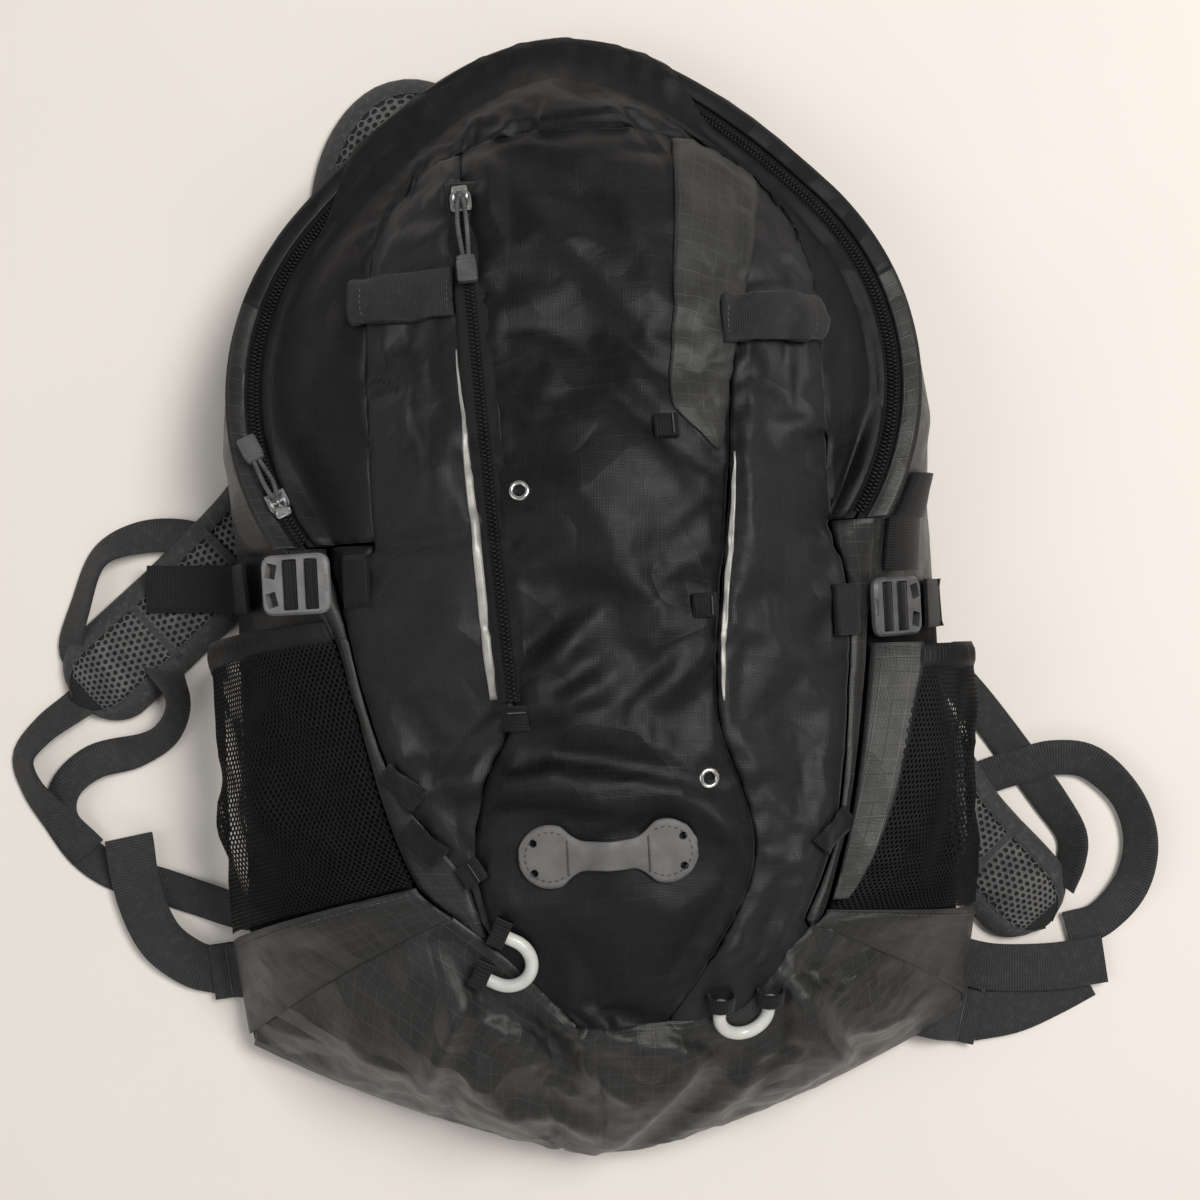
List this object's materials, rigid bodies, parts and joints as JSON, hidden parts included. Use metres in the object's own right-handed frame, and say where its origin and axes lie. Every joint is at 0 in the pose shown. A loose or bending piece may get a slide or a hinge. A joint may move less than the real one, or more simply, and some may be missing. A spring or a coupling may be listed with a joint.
{
  "type": "hydration pack",
  "caption": "Soft day pack for a water bladder, with a zipped front flap, net side pockets, compression buckles, tool loops and padded shoulder straps, lying on its back.",
  "frame": {"origin": "on the outer face of the back pad, on the pack's centre line and near the middle of its length", "axes": "+X to the right as the pack is seen from its front, +Y towards its top, +Z out of its front"},
  "size_m": [0.489, 0.4651, 0.1185],
  "materials": {
    "black_nylon": "plain woven nylon, soft sheen",
    "grey_ripstop": "satin ripstop",
    "black_net": "open knitted net",
    "spacer_mesh": "perforated spacer mesh over foam",
    "grey_webbing": "ribbed webbing",
    "black_webbing": "ribbed webbing",
    "back_foam": "matt foam under mesh",
    "zip_tape": "woven tape and coil",
    "slider_metal": "satin",
    "pull_grey": "matt cord and moulded grip",
    "buckle_light": "satin",
    "buckle_dark": "satin",
    "reflective": "silver reflective piping",
    "patch_rubber": "matt",
    "tube_white": "milky translucent",
    "nickel": "polished",
    "bladder_film": "translucent film",
    "cap_plastic": "satin",
    "port_rubber": "matt"
  },
  "bodies": {
    "pack": {"back_panel": "black_nylon", "back_pad": "back_foam", "hydration_sleeve": "black_nylon", "reservoir": "bladder_film", "reservoir_outlet": "cap_plastic", "reservoir_hanger": "black_webbing", "hose_port": "port_rubber", "top_gusset": "black_nylon", "side_panel_left": "grey_ripstop", "side_panel_right": "grey_ripstop", "side_wall_left": "black_nylon", "side_wall_right": "black_nylon", "wing_left": "grey_ripstop", "wing_right": "grey_ripstop", "front_lower_left": "black_nylon", "front_lower_center": "black_nylon", "front_lower_right": "black_nylon", "base_panel": "grey_ripstop", "main_zip_outer": "zip_tape", "pocket_zip_lower": "zip_tape", "piping_lower": "reflective", "eyelet_lower": "nickel", "gear_loops_lower": "black_webbing", "light_patch": "patch_rubber", "mesh_pocket_left": "black_net", "mesh_pocket_right": "black_net", "pocket_hem_left": "grey_webbing", "pocket_hem_right": "grey_webbing", "pocket_cup_left": "grey_ripstop", "pocket_cup_right": "grey_ripstop", "compression_straps": "black_webbing", "stowed_tail": "black_webbing", "corner_tabs": "grey_webbing", "lower_webbing_left": "grey_webbing", "lower_webbing_right": "grey_webbing", "waist_straps": "grey_webbing"},
    "flap": {"front_band": "black_nylon", "front_upper_left": "black_nylon", "front_upper_center": "black_nylon", "front_upper_right": "black_nylon", "accent_patch": "grey_ripstop", "main_zip_inner": "zip_tape", "pocket_zip_upper": "zip_tape", "piping_upper": "reflective", "eyelet_upper": "nickel", "gear_loop_upper": "black_webbing"},
    "main_slider": {"main_zip_slider": "slider_metal"},
    "main_pull": {"main_zip_pull": "pull_grey"},
    "pocket_slider": {"pocket_zip_slider": "slider_metal"},
    "pocket_pull": {"pocket_zip_pull": "pull_grey"},
    "left_tab": {"tool_tab_left": "black_nylon"},
    "right_tab": {"tool_tab_right": "black_nylon"},
    "left_buckle": {"compression_buckle_left": "buckle_light"},
    "right_buckle": {"compression_buckle_right": "buckle_dark"},
    "left_tool_loop": {"tool_loop_left": "tube_white"},
    "right_tool_loop": {"tool_loop_right": "tube_white"},
    "left_strap": {"shoulder_strap_left": "spacer_mesh"},
    "right_strap": {"shoulder_strap_right": "spacer_mesh"},
    "haul": {"haul_loop": "grey_webbing"},
    "cap": {"reservoir_cap": "cap_plastic"}
  },
  "joints": [
    {"name": "flap_fold", "type": "hinge", "parent": "pack", "child": "flap", "pos_m": [0, 0.026, 0.1155], "axis": [1, 0, 0], "range_deg": [0, 105]},
    {"name": "main_zip_travel", "type": "hinge", "parent": "flap", "child": "main_slider", "pos_m": [-0.0154, 0.0883, 0.06159], "axis": [0, -0.2735, -0.9619], "range_deg": [0, 58]},
    {"name": "main_pull_swing", "type": "hinge", "parent": "main_slider", "child": "main_pull", "pos_m": [-0.11654, 0.04447, 0.07988], "axis": [0.9063, 0.4065, -0.1156], "range_deg": [0, 150]},
    {"name": "pocket_zip_travel", "type": "slide", "parent": "flap", "child": "pocket_slider", "axis": [0.057, -0.9492, 0.3093], "range_m": [0, 0.086]},
    {"name": "pocket_pull_swing", "type": "hinge", "parent": "pocket_slider", "child": "pocket_pull", "pos_m": [-0.03973, 0.15942, 0.08073], "axis": [-0.9982, -0.0599, 0], "range_deg": [0, 140]},
    {"name": "left_tab_lift", "type": "hinge", "parent": "flap", "child": "left_tab", "pos_m": [-0.046, 0.121, 0.08625], "axis": [0, 0.9537, -0.3007], "range_deg": [0, 95]},
    {"name": "right_tab_lift", "type": "hinge", "parent": "flap", "child": "right_tab", "pos_m": [0.06252, 0.105, 0.08927], "axis": [0, -0.9545, 0.2983], "range_deg": [0, 95]},
    {"name": "left_buckle_lift", "type": "hinge", "parent": "pack", "child": "left_buckle", "pos_m": [-0.0983, 0.012, 0.08461], "axis": [0, 1, 0], "range_deg": [0, 35]},
    {"name": "right_buckle_lift", "type": "hinge", "parent": "pack", "child": "right_buckle", "pos_m": [0.1127, -0.009, 0.06894], "axis": [0, -1, 0], "range_deg": [0, 35]},
    {"name": "left_loop_swing", "type": "hinge", "parent": "pack", "child": "left_tool_loop", "pos_m": [-0.04191, -0.13169, 0.10306], "axis": [-0.4, -0.8065, -0.4354], "range_deg": [0, 120]},
    {"name": "right_loop_swing", "type": "hinge", "parent": "pack", "child": "right_tool_loop", "pos_m": [0.05334, -0.15612, 0.08973], "axis": [-0.9678, 0, 0.2517], "range_deg": [0, 120]},
    {"name": "left_strap_swing", "type": "hinge", "parent": "pack", "child": "left_strap", "pos_m": [-0.042, 0.205, 0.005], "axis": [0, 0, -1], "range_deg": [0, 12], "deforming": ["lower_webbing_left"]},
    {"name": "right_strap_swing", "type": "hinge", "parent": "pack", "child": "right_strap", "pos_m": [0.042, 0.205, 0.005], "axis": [0, 0, 1], "range_deg": [0, 12], "deforming": ["lower_webbing_right"]},
    {"name": "haul_loop_swing", "type": "hinge", "parent": "pack", "child": "haul", "pos_m": [0, 0.216, 0.011], "axis": [1, 0, 0], "range_deg": [0, 150]},
    {"name": "cap_turn", "type": "hinge", "parent": "pack", "child": "cap", "pos_m": [0, 0.082, 0.045], "axis": [0, 0, 1], "range_deg": [0, 90]}
  ]
}
